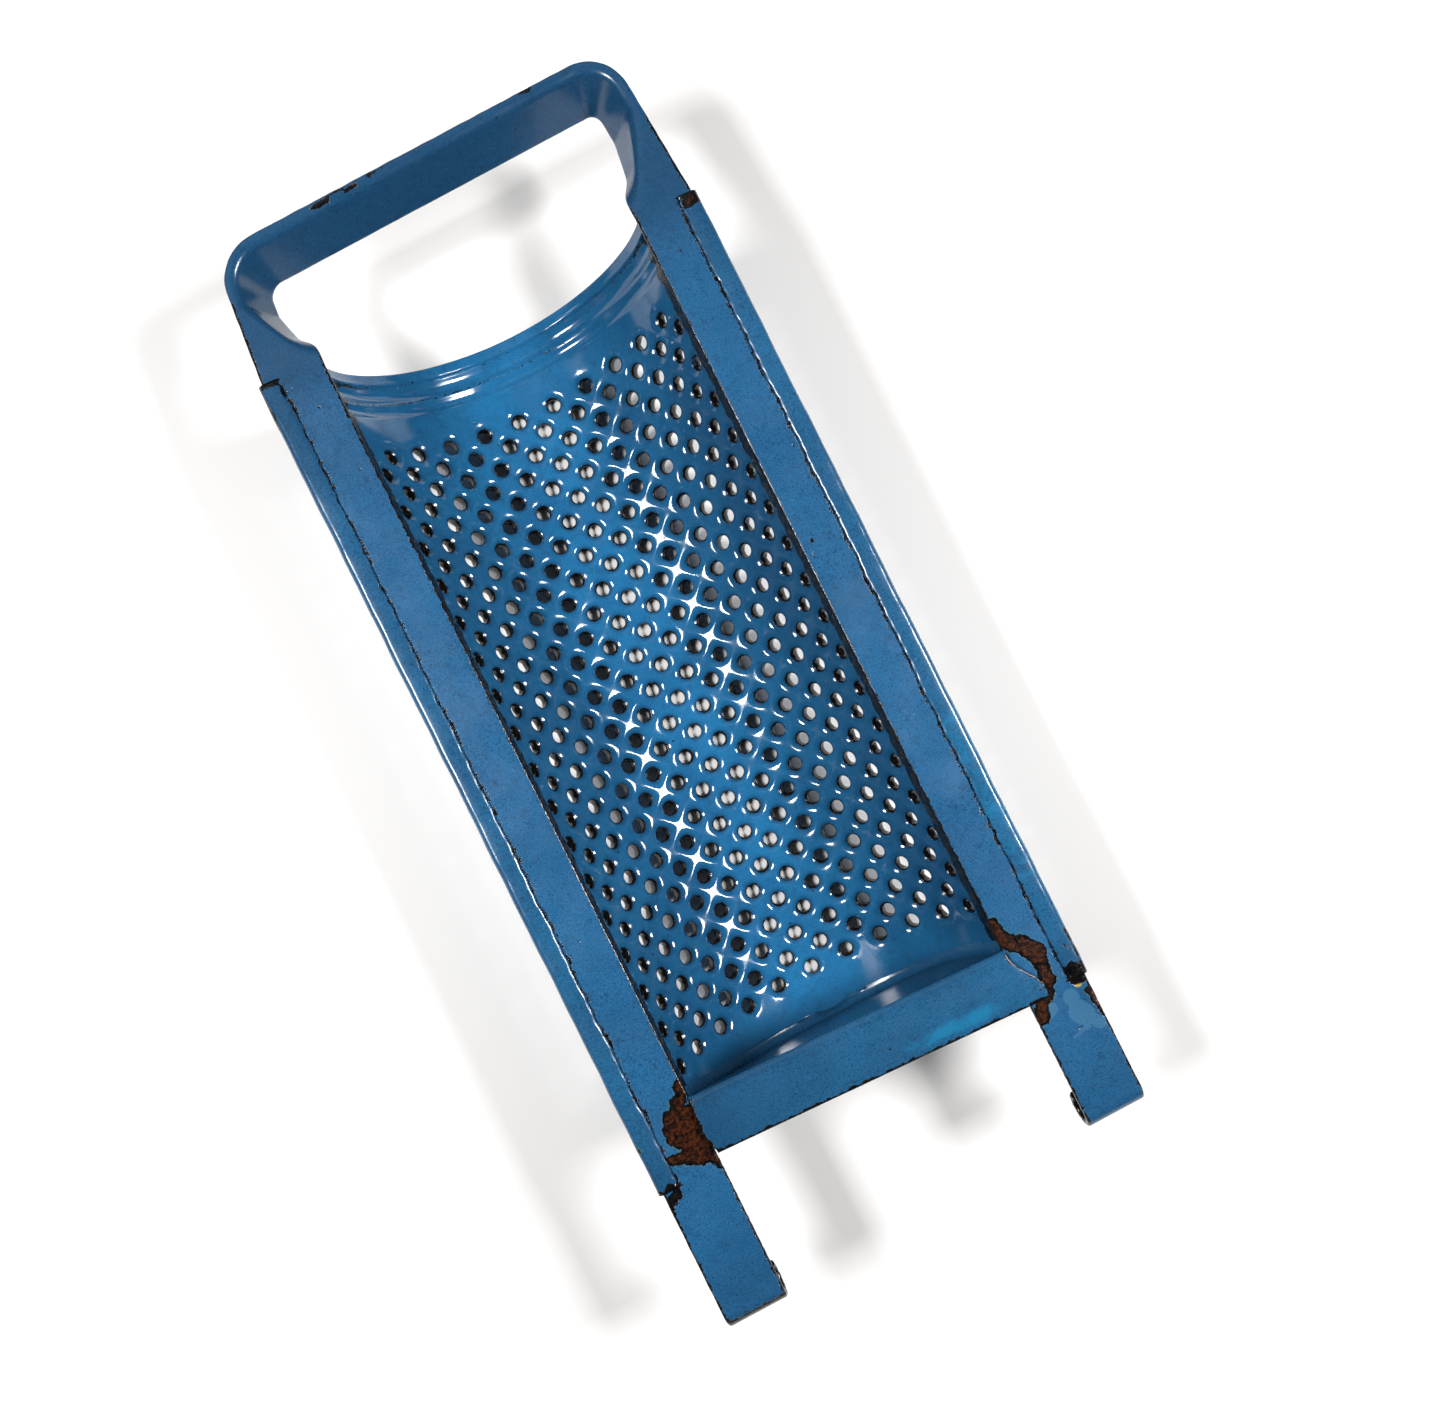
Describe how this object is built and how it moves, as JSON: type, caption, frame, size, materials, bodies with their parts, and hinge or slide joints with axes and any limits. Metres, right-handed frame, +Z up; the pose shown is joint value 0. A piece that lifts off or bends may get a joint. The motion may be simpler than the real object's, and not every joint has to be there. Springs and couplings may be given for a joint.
{
  "type": "hand grater",
  "caption": "Enamelled steel hand grater: arched sheet of punched teeth in a bent strip frame with loop handle, rolled feet and closed foot end.",
  "frame": {"origin": "centre of the bounding box's bottom face, under the tooth tips on the crown of the arch", "axes": "+Y along the rails from the feet towards the handle, +X across the rails, +Z up out of the hollow side"},
  "size_m": [0.121, 0.3028, 0.0432],
  "materials": {
    "frame_enamel": "gloss",
    "sheet_enamel": "gloss"
  },
  "bodies": {
    "root": {"handle": "frame_enamel", "left_rail": "frame_enamel", "right_rail": "frame_enamel", "left_hem": "sheet_enamel", "right_hem": "sheet_enamel", "grating_sheet": "sheet_enamel", "end_plate": "sheet_enamel"}
  },
  "joints": []
}
